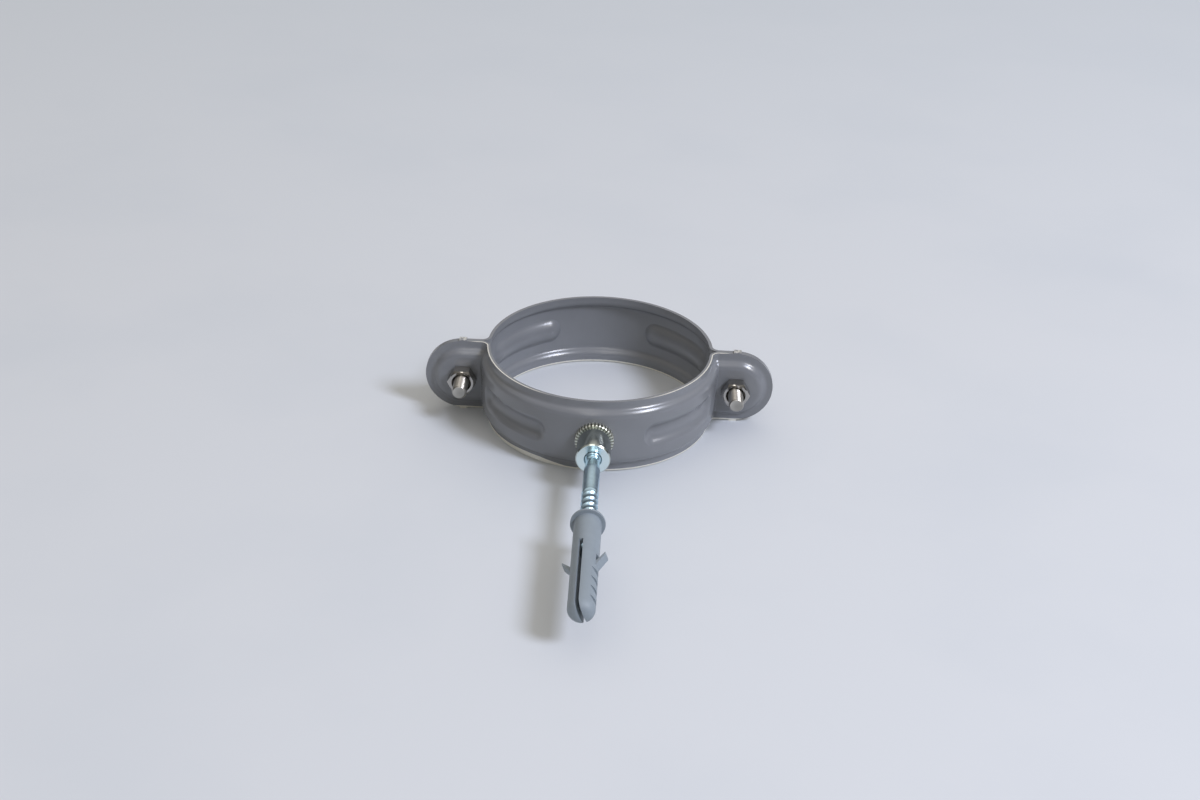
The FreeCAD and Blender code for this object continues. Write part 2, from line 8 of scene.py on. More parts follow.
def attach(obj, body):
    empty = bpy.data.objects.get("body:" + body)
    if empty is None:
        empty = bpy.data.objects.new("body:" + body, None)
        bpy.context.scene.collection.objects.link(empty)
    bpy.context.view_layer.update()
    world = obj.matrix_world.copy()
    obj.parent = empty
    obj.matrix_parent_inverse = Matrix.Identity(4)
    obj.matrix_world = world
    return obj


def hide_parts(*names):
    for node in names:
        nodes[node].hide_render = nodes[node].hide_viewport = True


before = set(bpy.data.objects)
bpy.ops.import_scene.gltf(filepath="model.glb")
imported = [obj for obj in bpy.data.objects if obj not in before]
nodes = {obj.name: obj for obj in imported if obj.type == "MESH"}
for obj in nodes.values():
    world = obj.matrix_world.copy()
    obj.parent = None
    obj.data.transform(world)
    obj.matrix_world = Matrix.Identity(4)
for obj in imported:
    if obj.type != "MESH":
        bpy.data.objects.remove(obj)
bpy.context.view_layer.update()
mm = 0.001
tiny = 1e-7  # m, less than this is no distance
print("frame loaded with", len(nodes), "nodes")


def linearColour(hexText):
    channels = [int(hexText[i:i + 2], 16) / 255 for i in (1, 3, 5)]
    return tuple(c / 12.92 if c <= 0.04045 else ((c + 0.055) / 1.055) ** 2.4 for c in channels) + (1.0,)


# Inputs go by name or number, or as a list from the first on. A node given as an input stands for its
# first live output, and on a Mix node 6 and 7 are the two colours.
def addNode(tree, kind, inputs=(), **settings):
    node = tree.nodes.new(kind)
    for name, value in settings.items():
        setattr(node, name, value)
    for name, value in inputs.items() if isinstance(inputs, dict) else enumerate(inputs):
        socket = node.inputs[name]
        if isinstance(value, bpy.types.Node):
            value = next(output for output in value.outputs if output.enabled)
        if isinstance(value, bpy.types.NodeSocket):
            tree.links.new(value, socket)
        elif isinstance(value, str) and value.startswith("#"):
            socket.default_value = linearColour(value)
        else:
            socket.default_value = value
    return node


# every finish starts from the place on the piece, in mm
def newMaterial(name):
    material = bpy.data.materials.new(name)
    material.use_nodes = True
    tree = material.node_tree
    tree.nodes.clear()
    place = addNode(tree, "ShaderNodeTexCoord").outputs["Object"]
    inMm = addNode(tree, "ShaderNodeVectorMath", {0: place, "Scale": 1 / mm}, operation="SCALE")
    return material, tree, inMm


def coverWith(tree, inputs):
    shader = addNode(tree, "ShaderNodeBsdfPrincipled", inputs)
    addNode(tree, "ShaderNodeOutputMaterial", [shader])


# two tones of one colour in soft clouds of a size in mm
def cloudyTone(tree, inMm, size, tones, detail=2.0):
    clouds = addNode(tree, "ShaderNodeTexNoise", {"Vector": inMm, "Scale": 1 / size, "Detail": detail})
    return addNode(tree, "ShaderNodeMix", {"Factor": clouds, 6: tones[0], 7: tones[1]}, data_type="RGBA")


# a fine grain and the relief it gives the surface, size and depth in mm
def fineGrain(tree, inMm, size, strength, depth, detail=1.0):
    grain = addNode(tree, "ShaderNodeTexNoise", {"Vector": inMm, "Scale": 1 / size, "Detail": detail})
    bump = addNode(tree, "ShaderNodeBump", {"Height": grain, "Strength": strength, "Distance": depth * mm})
    return grain, bump


# fine marks round an axis along Y, as rolling and turning leave them: apart, deep and long in mm
def toolMarks(tree, inMm, spacing, strength, depth, length=6.667):
    perMm = (1 / length, 1 / spacing, 1 / length)
    drawnOut = addNode(tree, "ShaderNodeVectorMath", [inMm, perMm], operation="MULTIPLY")
    return fineGrain(tree, drawnOut, 1.0, strength, depth, detail=2.0)


# painted shade: the roots of a thread are painted darker, by the attribute that the thread tree leaves
def paintRootShade(tree, colour, rootShadeColour, share):
    root = addNode(tree, "ShaderNodeAttribute", attribute_name="root").outputs["Fac"]
    shade = addNode(tree, "ShaderNodeMath", [root, share], operation="MULTIPLY")
    return root, addNode(tree, "ShaderNodeMix", {"Factor": shade, 6: colour, 7: rootShadeColour}, data_type="RGBA")


# Grey coil-coated steel strip: the paint is rolled on before the halves are sheared and pressed,
# so the faces are smooth and half glossy. Thin bright lines of bare zinc and painted highlight run
# along the edges: all along the bottom, widest at the left of the front, and by the ears along the
# top. The tie stubs, which are nipped off last, are partly bare. Lengths in mm.
paint = {
    "tones": ("#87898C", "#7D7F82"), "cloudSize": 16.0, "roughness": 0.24, "ior": 1.56,
    "peelSize": 1.1, "peelStrength": 0.06, "peelDepth": 0.2,  # the soft waves of roller-coated paint
    # the colour of the edge lines: bare zinc with a painted highlight
    "zincAndHighlight": "#ECE9DD", "edgeRoughness": 0.32, "edgeMetal": 0.2,
    # the strip's half width and thickness, the outside of the band, and the bend into the ears
    "halfWidth": 15.0, "sheet": 1.25, "rimOutside": 44.75, "bendCentre": 47.515, "bendRadius": 4.2,
    "bendEnds": 3.906,
    # the painted highlight line of the top edge, shown as bare zinc, from and to these distances from the
    # middle plane; the rear half keeps it only close to the ears
    "lineWidth": 0.42, "lineDepth": 0.08, "lineFrom": (17.0, 27.0), "lineTo": (49.5, 52.0),
    "rearShorter": 17.0, "halvesMeet": 1.0,
    # the painted highlight line of the bottom edge, shown as bare zinc, widest at the left of the front
    "bottomLine": 0.6, "widestLine": 1.8, "widens": (-45.0, -27.0), "narrows": (-21.0, -11.0),
    "bottomTo": (57.0, 60.0), "bottomSoft": 0.1,
    # torn places: how fine and how deep, and how bare the stubs are from there outwards
    "tearSize": 1.111, "tearDepth": 0.16, "stubFrom": 15.38, "stubTorn": (0.42, 0.62), "stubBare": (0.1, 0.7),
}


def coilPaint():
    material, tree, inMm = newMaterial("greyCoilPaint")
    axes = addNode(tree, "ShaderNodeSeparateXYZ", [inMm]).outputs
    side = addNode(tree, "ShaderNodeMath", [axes["X"]], operation="ABSOLUTE")
    away = addNode(tree, "ShaderNodeMath", [axes["Y"]], operation="ABSOLUTE")
    height = addNode(tree, "ShaderNodeMath", [axes["Z"]], operation="ABSOLUTE")
    ragged = addNode(tree, "ShaderNodeTexNoise",
                     {"Vector": inMm, "Scale": 1 / paint["tearSize"], "Detail": 2.0})

    # the top line, a painted highlight shown as bare zinc, runs along the outside of the band, of the bend
    # and of the ear
    half = paint["lineWidth"] / 2
    flat = addNode(tree, "ShaderNodeCombineXYZ", [side, away])
    reach = addNode(tree, "ShaderNodeVectorMath", [flat], operation="LENGTH")
    onBand = addNode(tree, "ShaderNodeMath", [reach, paint["rimOutside"] - half, half], operation="COMPARE")
    pastBend = addNode(tree, "ShaderNodeMath", [away, paint["bendEnds"]], operation="GREATER_THAN")
    onBand = addNode(tree, "ShaderNodeMath", [onBand, pastBend], operation="MULTIPLY")
    centre = (paint["bendCentre"], paint["bendRadius"], 0.0)
    aside = addNode(tree, "ShaderNodeVectorMath", [flat, centre], operation="DISTANCE")
    inBend = paint["bendRadius"] - paint["sheet"] + half
    onBend = addNode(tree, "ShaderNodeMath", [aside, inBend, half], operation="COMPARE")
    onEar = addNode(tree, "ShaderNodeMath", [away, paint["sheet"] - half, half], operation="COMPARE")
    pastBend = addNode(tree, "ShaderNodeMath", [side, paint["bendCentre"]], operation="GREATER_THAN")
    onEar = addNode(tree, "ShaderNodeMath", [onEar, pastBend], operation="MULTIPLY")
    top = addNode(tree, "ShaderNodeMath", [onBand, onBend], operation="MAXIMUM")
    top = addNode(tree, "ShaderNodeMath", [top, onEar], operation="MAXIMUM")
    meet = paint["halvesMeet"]
    behind = addNode(tree, "ShaderNodeMapRange", [axes["Y"], -meet, meet, 0.0, paint["rearShorter"]])
    starts = addNode(tree, "ShaderNodeMath", [side, behind], operation="SUBTRACT")
    starts = addNode(tree, "ShaderNodeMapRange", [starts, *paint["lineFrom"]])
    stops = addNode(tree, "ShaderNodeMath", [side, behind], operation="ADD")
    stops = addNode(tree, "ShaderNodeMapRange", [stops, *paint["lineTo"], 1.0, 0.0])
    onTop = addNode(tree, "ShaderNodeMath", [axes["Z"], paint["halfWidth"], paint["lineDepth"]],
                    operation="COMPARE")
    for limit in (starts, stops, onTop):
        top = addNode(tree, "ShaderNodeMath", [top, limit], operation="MULTIPLY")

    # the bottom line, a painted highlight shown as bare zinc, swells at the left of the front, and its upper
    # edge wanders a little
    wide = addNode(tree, "ShaderNodeMapRange", [axes["X"], *paint["widens"]])
    narrow = addNode(tree, "ShaderNodeMapRange", [axes["X"], *paint["narrows"], 1.0, 0.0])
    inFront = addNode(tree, "ShaderNodeMath", [axes["Y"], 0.0], operation="LESS_THAN")
    for limit in (narrow, inFront):
        wide = addNode(tree, "ShaderNodeMath", [wide, limit], operation="MULTIPLY")
    more = paint["widestLine"] - paint["bottomLine"]
    wide = addNode(tree, "ShaderNodeMath", [wide, more, paint["bottomLine"]], operation="MULTIPLY_ADD")
    above = addNode(tree, "ShaderNodeMath", [ragged, paint["tearDepth"], axes["Z"]], operation="MULTIPLY_ADD")
    above = addNode(tree, "ShaderNodeMath", [above, wide], operation="SUBTRACT")
    above = addNode(tree, "ShaderNodeMath", [above, paint["halfWidth"]], operation="ADD")
    bottom = addNode(tree, "ShaderNodeMapRange", [above, 0.0, paint["bottomSoft"], 1.0, 0.0])
    stops = addNode(tree, "ShaderNodeMapRange", [side, *paint["bottomTo"], 1.0, 0.0])
    bottom = addNode(tree, "ShaderNodeMath", [bottom, stops], operation="MULTIPLY")

    # the stubs stand proud of the strip's edges and are torn, so only partly bare
    stubs = addNode(tree, "ShaderNodeMath", [ragged, paint["tearDepth"], height], operation="MULTIPLY_ADD")
    stubs = addNode(tree, "ShaderNodeMath", [stubs, paint["stubFrom"]], operation="GREATER_THAN")
    torn = addNode(tree, "ShaderNodeMapRange", [ragged, *paint["stubTorn"], *paint["stubBare"]])
    stubs = addNode(tree, "ShaderNodeMath", [stubs, torn], operation="MULTIPLY")
    # the painted highlight lines, shown as bare zinc, and the partly bare stubs
    bareAndHighlight = addNode(tree, "ShaderNodeMath", [top, bottom], operation="MAXIMUM")
    bareAndHighlight = addNode(tree, "ShaderNodeMath", [bareAndHighlight, stubs], operation="MAXIMUM")

    body = cloudyTone(tree, inMm, paint["cloudSize"], paint["tones"], detail=3.0)
    colour = addNode(tree, "ShaderNodeMix", {"Factor": bareAndHighlight, 6: body, 7: paint["zincAndHighlight"]}, data_type="RGBA")
    bump = fineGrain(tree, inMm, paint["peelSize"], paint["peelStrength"], paint["peelDepth"])[1]
    rough = addNode(tree, "ShaderNodeMapRange", [bareAndHighlight, 0.0, 1.0, paint["roughness"], paint["edgeRoughness"]])
    metal = addNode(tree, "ShaderNodeMath", [bareAndHighlight, paint["edgeMetal"]], operation="MULTIPLY")
    coverWith(tree, {"Base Color": colour, "Metallic": metal, "Roughness": rough, "IOR": paint["ior"],
                     "Normal": bump})
    return material


# Zinc plating with a blue passivation on the rolled screw: bright metal with fine marks round its
# axis and a faint change of tint, with painted shade in the roots of its threads.
plating = {
    "tones": ("#D5F0FF", "#BAD7EB"), "cloudSize": 2.857, "roughness": (0.16, 0.29),
    "marks": 0.30, "markStrength": 0.25, "markDepth": 0.04,  # mm apart and deep
    "rootShadeColour": "#2B3136", "rootShade": 0.7, "rootRoughness": 0.25,
}


def platedSteel():
    material, tree, inMm = newMaterial("blueZincPlating")
    marks, bump = toolMarks(tree, inMm, plating["marks"], plating["markStrength"], plating["markDepth"])
    colour = cloudyTone(tree, inMm, plating["cloudSize"], plating["tones"])
    # painted shade in the roots of the threads
    root, colour = paintRootShade(tree, colour, plating["rootShadeColour"], plating["rootShade"])
    rough = addNode(tree, "ShaderNodeMapRange", [marks, 0.0, 1.0, *plating["roughness"]])
    rough = addNode(tree, "ShaderNodeMath", [root, plating["rootRoughness"], rough], operation="MULTIPLY_ADD")
    coverWith(tree, {"Base Color": colour, "Metallic": 1.0, "Roughness": rough, "Normal": bump})
    return material


# Zinc plating with a yellow passivation on the boss, turned on a lathe: its side is a dark mirror with
# fine rings, its end face is faced off nearly colourless, and the knurl has painted highlight on the tips
# of its teeth and painted shade in its valleys.
bossPlating = {
    "side": "#B7BEB9", "face": "#E4F3F4", "tips": "#EEF0E6", "valleyShade": "#8E8F82",
    "sideRoughness": 0.13, "faceRoughness": 0.2, "rimRoughness": 0.4,
    "rings": 0.22, "ringStrength": 0.2, "ringDepth": 0.04,  # mm apart and deep
    "rimFront": -49.1, "rimRadius": 6.55, "end": -61.38,  # mm, where the knurled rim and the end face are
    "teeth": 34, "tipSharpness": 1.5,
}


def turnedBoss():
    material, tree, inMm = newMaterial("yellowZincPlating")
    axes = addNode(tree, "ShaderNodeSeparateXYZ", [inMm]).outputs
    # painted highlight on the tips of the knurl's teeth and painted shade in its valleys
    turn = addNode(tree, "ShaderNodeMath", [axes["X"], axes["Z"]], operation="ARCTAN2")
    tooth = addNode(tree, "ShaderNodeMath", [turn, bossPlating["teeth"]], operation="MULTIPLY")
    tooth = addNode(tree, "ShaderNodeMath", [tooth], operation="COSINE")
    tooth = addNode(tree, "ShaderNodeMath", [tooth, -0.5, 0.5], operation="MULTIPLY_ADD")  # 0 to 1
    tooth = addNode(tree, "ShaderNodeMath", [tooth, bossPlating["tipSharpness"]], operation="POWER")
    rim = addNode(tree, "ShaderNodeMix", {"Factor": tooth, 6: bossPlating["valleyShade"], 7: bossPlating["tips"]},
                  data_type="RGBA")
    flat = addNode(tree, "ShaderNodeCombineXYZ", {"X": axes["X"], "Z": axes["Z"]})
    radius = addNode(tree, "ShaderNodeVectorMath", [flat], operation="LENGTH")
    onRim = addNode(tree, "ShaderNodeMath", [axes["Y"], bossPlating["rimFront"]], operation="GREATER_THAN")
    outside = addNode(tree, "ShaderNodeMath", [radius, bossPlating["rimRadius"]], operation="GREATER_THAN")
    onRim = addNode(tree, "ShaderNodeMath", [onRim, outside], operation="MULTIPLY")
    onFace = addNode(tree, "ShaderNodeMath", [axes["Y"], bossPlating["end"]], operation="LESS_THAN")
    body = addNode(tree, "ShaderNodeMix", {"Factor": onFace, 6: bossPlating["side"], 7: bossPlating["face"]},
                   data_type="RGBA")
    colour = addNode(tree, "ShaderNodeMix", {"Factor": onRim, 6: body, 7: rim}, data_type="RGBA")
    bump = toolMarks(tree, inMm, bossPlating["rings"], bossPlating["ringStrength"],
                     bossPlating["ringDepth"])[1]
    rough = bossPlating["sideRoughness"]
    for where, there in ((onFace, bossPlating["faceRoughness"]), (onRim, bossPlating["rimRoughness"])):
        more = there - bossPlating["sideRoughness"]
        rough = addNode(tree, "ShaderNodeMath", [where, more, rough], operation="MULTIPLY_ADD")
    coverWith(tree, {"Base Color": colour, "Metallic": 1.0, "Roughness": rough, "Normal": bump})
    return material


# Stainless steel nuts and bolts, cold formed from wire: warm, half polished, with a fine grain. The
# sawn ends of the bolts are paler and matt, and the roots of the thread get painted shade.
stainless = {
    "formed": ("#C0BEBA", "#9E9B97", 0.13), "rolled": ("#D2CFC9", "#B3AFA9", 0.29),  # bright, worn, roughness
    "sawn": "#C6C4BE", "sawnRoughness": 0.5, "sawnFrom": -16.3,  # mm along the bolt
    "grain": 0.4, "grainStrength": 0.12, "grainDepth": 0.05,  # mm wide and deep
    "rootShadeColour": "#2A2826", "rootShade": 0.75,
}


def stainlessSteel(made):
    bright, worn, roughness = stainless[made]
    material, tree, inMm = newMaterial(made + "Stainless")
    grain, bump = fineGrain(tree, inMm, stainless["grain"], stainless["grainStrength"],
                            stainless["grainDepth"], detail=3.0)
    colour = addNode(tree, "ShaderNodeMix", {"Factor": grain, 6: bright, 7: worn}, data_type="RGBA")
    along = addNode(tree, "ShaderNodeSeparateXYZ", [inMm]).outputs["Y"]
    sawn = addNode(tree, "ShaderNodeMath", [along, stainless["sawnFrom"]], operation="LESS_THAN")
    colour = addNode(tree, "ShaderNodeMix", {"Factor": sawn, 6: colour, 7: stainless["sawn"]},
                     data_type="RGBA")
    # painted shade in the roots of the thread
    colour = paintRootShade(tree, colour, stainless["rootShadeColour"], stainless["rootShade"])[1]
    rough = addNode(tree, "ShaderNodeMapRange", [sawn, 0.0, 1.0, roughness, stainless["sawnRoughness"]])
    coverWith(tree, {"Base Color": colour, "Metallic": 1.0, "Roughness": rough, "Normal": bump})
    return material


# Grey nylon of the plug: injection moulded in a spark-eroded mould, so matt with a fine even grain.
nylon = {
    "tones": ("#8B959C", "#959FA6"), "cloudSize": 3.333, "roughness": 0.55, "ior": 1.53,
    "grain": 0.25, "grainStrength": 0.15, "grainDepth": 0.05,  # mm wide and deep
}


def mouldedNylon():
    material, tree, inMm = newMaterial("mouldedGreyNylon")
    colour = cloudyTone(tree, inMm, nylon["cloudSize"], nylon["tones"])
    bump = fineGrain(tree, inMm, nylon["grain"], nylon["grainStrength"], nylon["grainDepth"])[1]
    coverWith(tree, {"Base Color": colour, "Roughness": nylon["roughness"], "IOR": nylon["ior"],
                     "Normal": bump})
    return material


# by the material slots of the record
finishes = {
    "painted_steel": coilPaint(),
    "yellow_zinc_steel": turnedBoss(),
    "blue_zinc_steel": platedSteel(),
    "stainless_steel": stainlessSteel("formed"),
    "grey_nylon": mouldedNylon(),
}
for node in nodes.values():
    for slot in node.material_slots:
        slot.material = finishes[slot.material.name.split(".")[0]]
boltFinish = stainlessSteel("rolled")
print("materials made:", ", ".join(sorted(m.name for m in finishes.values())), "and", boltFinish.name)


# A tree that cuts a helical thread into any rod turned about a line along Y.
def threadTree():
    tree = bpy.data.node_groups.new("cutThread", "GeometryNodeTree")
    for name, kind, value in (("Geometry", "Geometry", None), ("Axis X", "Float", 0.0),
                              ("Pitch", "Float", 1 * mm), ("Depth", "Float", 0.6 * mm),
                              ("Crest", "Float", 0.15), ("Root", "Float", 0.0),
                              ("From", "Float", 0.0), ("To", "Float", -10 * mm),
                              ("Run out", "Float", 1 * mm), ("Finish", "Material", None)):
        socket = tree.interface.new_socket(name, in_out="INPUT", socket_type="NodeSocket" + kind)
        if value is not None:
            socket.default_value = value
    tree.interface.new_socket("Geometry", in_out="OUTPUT", socket_type="NodeSocketGeometry")
    given = addNode(tree, "NodeGroupInput").outputs

    spot = addNode(tree, "GeometryNodeInputPosition")
    axes = addNode(tree, "ShaderNodeSeparateXYZ", [spot]).outputs
    across = addNode(tree, "ShaderNodeMath", [axes["X"], given["Axis X"]], operation="SUBTRACT")
    # a right-hand thread climbs away from the eye as it turns clockwise
    turn = addNode(tree, "ShaderNodeMath", [axes["Z"], across], operation="ARCTAN2")
    turn = addNode(tree, "ShaderNodeMath", [turn, 2 * math.pi], operation="DIVIDE")
    phase = addNode(tree, "ShaderNodeMath", [axes["Y"], given["Pitch"]], operation="DIVIDE")
    phase = addNode(tree, "ShaderNodeMath", [phase, turn], operation="ADD")
    phase = addNode(tree, "ShaderNodeMath", [phase], operation="FRACT")
    flank = addNode(tree, "ShaderNodeMath", [phase, 0.5], operation="SUBTRACT")
    flank = addNode(tree, "ShaderNodeMath", [flank], operation="ABSOLUTE")
    flank = addNode(tree, "ShaderNodeMath", [flank, 2.0], operation="MULTIPLY")  # 0 mid groove, 1 mid crest
    slope = addNode(tree, "ShaderNodeMath", [1.0, given["Crest"]], operation="SUBTRACT")
    slope = addNode(tree, "ShaderNodeMath", [slope, given["Root"]], operation="SUBTRACT")
    groove = addNode(tree, "ShaderNodeMath", [1.0, flank], operation="SUBTRACT")
    groove = addNode(tree, "ShaderNodeMath", [groove, slope], operation="DIVIDE")
    groove = addNode(tree, "ShaderNodeMath", [groove, 1.0], operation="MINIMUM")

    # the groove runs out at both ends
    low = addNode(tree, "ShaderNodeMath", [given["From"], axes["Y"]], operation="SUBTRACT")
    low = addNode(tree, "ShaderNodeMath", [low, given["Run out"]], operation="DIVIDE")
    high = addNode(tree, "ShaderNodeMath", [axes["Y"], given["To"]], operation="SUBTRACT")
    high = addNode(tree, "ShaderNodeMath", [high, given["Run out"]], operation="DIVIDE")
    fade = addNode(tree, "ShaderNodeMath", [low, high], operation="MINIMUM")
    fade = addNode(tree, "ShaderNodeClamp", [fade])
    deep = addNode(tree, "ShaderNodeMath", [groove, fade], operation="MULTIPLY")

    # how deep each point lies in the groove, kept as the attribute root for roughness and painted shade
    before = addNode(tree, "GeometryNodeInputNamedAttribute", {"Name": "root"}, data_type="FLOAT")
    deepest = addNode(tree, "ShaderNodeMath", [before, deep], operation="MAXIMUM")
    kept = addNode(tree, "GeometryNodeStoreNamedAttribute",
                   {"Geometry": given["Geometry"], "Name": "root", "Value": deepest},
                   data_type="FLOAT", domain="POINT")
    cut = addNode(tree, "ShaderNodeMath", [given["Depth"], -1.0], operation="MULTIPLY")
    cut = addNode(tree, "ShaderNodeMath", [deep, cut], operation="MULTIPLY")
    radial = addNode(tree, "ShaderNodeCombineXYZ", {"X": across, "Z": axes["Z"]})
    radial = addNode(tree, "ShaderNodeVectorMath", [radial], operation="NORMALIZE")
    shift = addNode(tree, "ShaderNodeVectorMath", {0: radial, "Scale": cut}, operation="SCALE")
    moved = addNode(tree, "GeometryNodeSetPosition", {"Geometry": kept, "Offset": shift})
    real = addNode(tree, "GeometryNodeRealizeInstances", [moved])
    done = addNode(tree, "GeometryNodeSetMaterial", {"Geometry": real, "Material": given["Finish"]})
    addNode(tree, "NodeGroupOutput", [done])
    return tree


# profile: y and radius in mm, and rows to the next line; radius 0 at both ends closes the rod
def turnedRod(name, profile, axisX=0.0, segments=48):
    rings = []
    for (y, r, rows), (nextY, nextR, _) in zip(profile, profile[1:]):
        rings += [(y + (nextY - y) * i / rows, r + (nextR - r) * i / rows) for i in range(rows)]
    rings.append(profile[-1][:2])
    points, faces, starts = [], [], []
    for y, r in rings:
        starts.append(len(points))
        if r * mm < tiny:
            points.append((axisX * mm, y * mm, 0.0))
        else:
            points += [((axisX + r * math.cos(a)) * mm, y * mm, r * math.sin(a) * mm)
                       for a in (2 * math.pi * i / segments for i in range(segments))]
    starts.append(len(points))
    for here, there, beyond in zip(starts, starts[1:], starts[2:]):
        for i in range(segments):
            j = (i + 1) % segments
            if there - here == 1:
                faces.append((here, there + j, there + i))
            elif beyond - there == 1:
                faces.append((here + i, here + j, there))
            else:
                faces.append((here + i, here + j, there + j, there + i))
    mesh = bpy.data.meshes.new(name)
    mesh.from_pydata(points, [], faces)
    rod = bpy.data.objects.new(name, mesh)
    bpy.context.scene.collection.objects.link(rod)
    return rod


# sizes: the tree's inputs by name, lengths in mm, Crest and Root as shares of the pitch
def cutThread(rod, tree, finish, sizes):
    modifier = rod.modifiers.new("thread", "NODES")
    modifier.node_group = tree
    for item in tree.interface.items_tree:
        if item.name in sizes:
            modifier[item.identifier] = sizes[item.name] * (1.0 if item.name in ("Crest", "Root") else mm)
        elif item.name == "Finish":
            modifier[item.identifier] = finish
    bpy.context.view_layer.update()
    mesh = bpy.data.meshes.new_from_object(rod.evaluated_get(bpy.context.evaluated_depsgraph_get()))
    rod.modifiers.remove(modifier)
    rod.data = mesh


threads = threadTree()
print("thread tree built")

# Hanger screw, in mm: profile as turnedRod takes it, and its two threads.
screw = {
    "profile": (
        (-44.5, 0.0, 1), (-44.5, 2.6, 2), (-45.05, 3.0, 160), (-61.35, 3.0, 3),  # machine thread
        (-61.7, 2.6, 2), (-62.15, 2.73, 2), (-63.0, 2.6, 3), (-63.5, 2.3, 3), (-64.25, 2.6, 8),  # relief
        (-70.45, 3.05, 6), (-84.1, 3.05, 3),  # plain shank
        (-85.6, 3.15, 300), (-120.0, 3.15, 60), (-125.0, 0.4, 1), (-125.0, 0.0, 1),  # wood thread, point
    ),
    "machine": {"Pitch": 1.0, "Depth": 0.6, "Crest": 0.15, "From": -45.0, "To": -61.15, "Run out": 0.8},
    "wood": {"Pitch": 3.6, "Depth": 0.85, "Crest": 0.08, "Root": 0.4, "From": -85.6, "To": -125.0,
             "Run out": 2.0},
}


def hangerScrew():
    rod = turnedRod("hangerScrew", screw["profile"])
    for thread in ("machine", "wood"):
        cutThread(rod, threads, finishes["blue_zinc_steel"], screw[thread])
    for face in rod.data.polygons:
        face.use_smooth = True
    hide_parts("hanger_screw")
    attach(rod, "screw")
    print("hanger screw:", len(rod.data.polygons), "faces")


hangerScrew()

# Clamp bolts, in mm: rolled thread from under the head to the bevelled end, corners to the left and
# right, and a head chamfered from its crown outwards.
bolt = {
    "centre": 54.5, "top": 7.55, "seat": 3.55, "end": -16.45, "radius": 2.95, "bevel": 0.45,
    "flats": 10.0, "crown": 4.75, "chamfer": 30.0,  # radius of the crown, chamfer in degrees
    "thread": {"Pitch": 1.0, "Depth": 0.55, "Crest": 0.15, "From": 2.55, "To": -16.75, "Run out": 0.6},
}


def clampBolt(side, sign):
    head, centre = bolt["flats"] / 2, sign * bolt["centre"]
    rows = [
        (bolt["top"], 0.0, 1), (bolt["top"], bolt["crown"], 1), (bolt["top"], head, 1),
        (bolt["seat"], head, 1), (bolt["seat"], bolt["radius"], 200),
        (bolt["end"] + bolt["bevel"], bolt["radius"], 5),
        (bolt["end"], bolt["radius"] - bolt["bevel"], 1), (bolt["end"], 0.0, 1),
    ]
    shank = turnedRod("clampBolt" + side, rows, centre)
    slope = math.tan(math.radians(bolt["chamfer"]))
    for point in shank.data.vertices:
        across, up = point.co.x - centre * mm, point.co.z
        reach = math.hypot(across, up)
        if reach < head * mm - tiny:
            continue
        turn = math.atan2(up, across) % (math.pi / 3) - math.pi / 6
        stretch = 1 / math.cos(turn)  # from the round to the hexagon
        point.co.x, point.co.z = centre * mm + across * stretch, up * stretch
        if point.co.y > bolt["top"] * mm - tiny:
            point.co.y -= (reach * stretch - bolt["crown"] * mm) * slope
    cutThread(shank, threads, boltFinish, {**bolt["thread"], "Axis X": centre})
    for face in shank.data.polygons:
        face.use_smooth = bolt["end"] * mm < face.center.y < bolt["seat"] * mm - tiny
    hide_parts("clamp_bolt_" + side.lower())
    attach(shank, "rear")


for side, sign in (("Left", -1), ("Right", 1)):
    clampBolt(side, sign)
print("clamp bolts made")

# Pale uncoated paper for a floor, matt from the calender, one softbox high to the right, and the room as
# a soft gradient.
studio = {
    # mm: the paper has faint clouds, and the far floor is painted bluish as a painted tint of the light there
    "floorZ": -15.6, "floorHalf": 3000.0, "floorColour": "#DADDE0", "floorClouds": "#D5D9DD",
    "floorFarLightTint": "#DAE1E8", "far": (100.0, 900.0), "cloudSize": 111.1, "cloudEdge": (0.45, 0.75),
    "floorRoughness": 0.75,
    # metres and watts; the cards only show as reflections
    "softbox": {"from": (0.60, -0.38, 0.70), "distance": 2.1, "size": 0.60, "power": 28.5,
                "colour": "#E2E9FF"},
    "cards": (
        {"from": (0.62, -0.50, 0.60), "distance": 1.9, "size": 0.5, "power": 11.0, "colour": "#FFFBF4"},
        {"from": (-0.12, -0.52, 0.85), "distance": 1.9, "size": 0.8, "power": 2.7, "colour": "#FFFBF4"},
        {"from": (-0.08, -0.83, 0.56), "distance": 1.5, "size": 0.35, "power": 1.0, "colour": "#FFFBF4"},
    ),
    # the room is brighter from floor to ceiling, and to one side
    "roomColour": "#F8F4EE", "ceiling": 0.8, "roomStrength": (0.06, 0.76), "brightSide": (0.45, 0.89, 0.0),
    "sideStrength": (0.65, 1.25), "backdrop": "#C6CBD2",
}


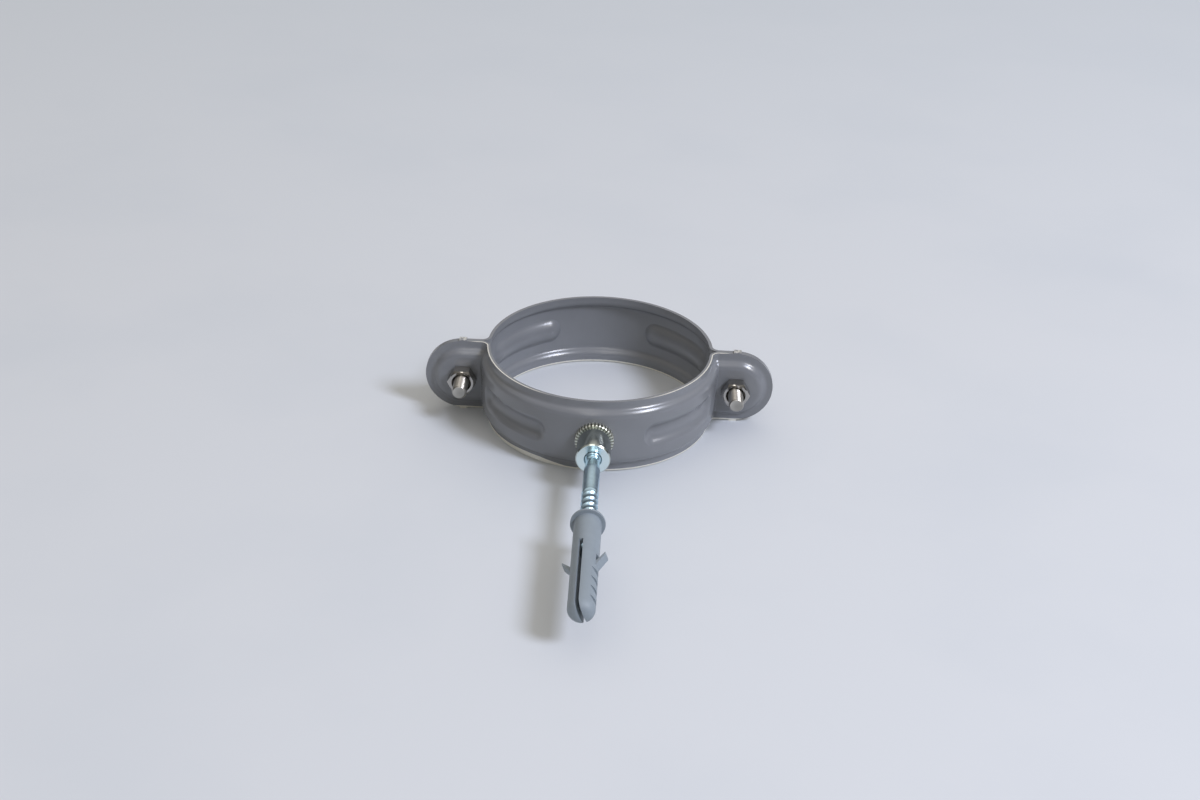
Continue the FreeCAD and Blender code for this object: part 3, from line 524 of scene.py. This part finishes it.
def buildFloor():
    half = studio["floorHalf"]
    corners = ((-half, -half), (half, -half), (half, half), (-half, half))
    mesh = bpy.data.meshes.new("studioFloor")
    mesh.from_pydata([(x * mm, y * mm, studio["floorZ"] * mm) for x, y in corners], [], [(0, 1, 2, 3)])
    floor = bpy.data.objects.new("studioFloor", mesh)
    bpy.context.scene.collection.objects.link(floor)
    material, tree, inMm = newMaterial("paperSweep")
    clouds = addNode(tree, "ShaderNodeTexNoise",
                     {"Vector": inMm, "Scale": 1 / studio["cloudSize"], "Detail": 4.0})
    faint = addNode(tree, "ShaderNodeMapRange", [clouds, *studio["cloudEdge"]])
    tone = addNode(tree, "ShaderNodeMix",
                   {"Factor": faint, 6: studio["floorColour"], 7: studio["floorClouds"]}, data_type="RGBA")
    away = addNode(tree, "ShaderNodeSeparateXYZ", [inMm]).outputs["Y"]
    # painted tint of the light on the far floor
    bluish = addNode(tree, "ShaderNodeMapRange", [away, *studio["far"]])
    tone = addNode(tree, "ShaderNodeMix", {"Factor": bluish, 6: tone, 7: studio["floorFarLightTint"]},
                   data_type="RGBA")
    coverWith(tree, {"Base Color": tone, "Roughness": studio["floorRoughness"]})
    mesh.materials.append(material)


def hangLamp(name, sizes, onlyReflected):
    lamp = bpy.data.lights.new(name, "AREA")
    lamp.shape, lamp.size, lamp.energy = "DISK", sizes["size"], sizes["power"]
    lamp.color = linearColour(sizes["colour"])[:3]
    box = bpy.data.objects.new(name, lamp)
    bpy.context.scene.collection.objects.link(box)
    aim = Vector(sizes["from"]).normalized()
    box.location = aim * sizes["distance"]
    box.rotation_euler = aim.to_track_quat("Z", "Y").to_euler()
    box.visible_diffuse = not onlyReflected


def lightRoom():
    world = bpy.data.worlds.new("studioRoom")
    bpy.context.scene.world = world
    world.use_nodes = True
    tree = world.node_tree
    tree.nodes.clear()
    view = addNode(tree, "ShaderNodeTexCoord").outputs["Generated"]
    up = addNode(tree, "ShaderNodeSeparateXYZ", [view]).outputs["Z"]
    rise = addNode(tree, "ShaderNodeMapRange", [up, 0.0, studio["ceiling"], *studio["roomStrength"]],
                   interpolation_type="SMOOTHSTEP")
    facing = addNode(tree, "ShaderNodeVectorMath", [view, studio["brightSide"]], operation="DOT_PRODUCT")
    lean = addNode(tree, "ShaderNodeMapRange", [facing, -1.0, 1.0, *studio["sideStrength"]])
    glow = addNode(tree, "ShaderNodeMath", [rise, lean], operation="MULTIPLY")
    room = addNode(tree, "ShaderNodeBackground", {"Color": studio["roomColour"], "Strength": glow})
    pale = addNode(tree, "ShaderNodeBackground", {"Color": studio["backdrop"], "Strength": 1.0})
    seen = addNode(tree, "ShaderNodeLightPath").outputs["Is Camera Ray"]
    both = addNode(tree, "ShaderNodeMixShader", [seen, room, pale])
    addNode(tree, "ShaderNodeOutputWorld", [both])


# The photograph's view, found from the rims of the ring, the ears and the screw: mm and degrees.
eye = {
    "distance": 668.534, "elevation": 29.678, "yaw": -1.017, "roll": 2.224, "right": 0.697, "up": -8.312,
    "lens": 50.0, "sensor": 36.0, "nearest": 10.0,
}


def placeCamera():
    tilt, yaw, roll = (math.radians(eye[k]) for k in ("elevation", "yaw", "roll"))
    right, ahead = Vector((1, 0, 0)), Vector((0, math.cos(tilt), -math.sin(tilt)))
    up = Vector((0, math.sin(tilt), math.cos(tilt)))
    spot = -ahead * eye["distance"] + right * eye["right"] + up * eye["up"]
    across = right * math.cos(roll) + up * math.sin(roll)
    upright = up * math.cos(roll) - right * math.sin(roll)
    turn = Matrix.Rotation(-yaw, 3, "Z")
    pose = Matrix((turn @ across, turn @ upright, turn @ -ahead)).transposed().to_4x4()
    pose.translation = turn @ spot * mm
    lens = bpy.data.cameras.new("photoCamera")
    lens.lens, lens.sensor_width, lens.clip_start = eye["lens"], eye["sensor"], eye["nearest"] * mm
    camera = bpy.data.objects.new("photoCamera", lens)
    camera.matrix_world = pose
    bpy.context.scene.collection.objects.link(camera)
    bpy.context.scene.camera = camera


buildFloor()
hangLamp("softbox", studio["softbox"], False)
for number, card in enumerate(studio["cards"], 1):
    hangLamp("reflectionCard" + str(number), card, True)
lightRoom()
placeCamera()
bpy.context.scene.view_settings.view_transform = "Standard"
print("studio and camera placed")

bpy.context.view_layer.update()
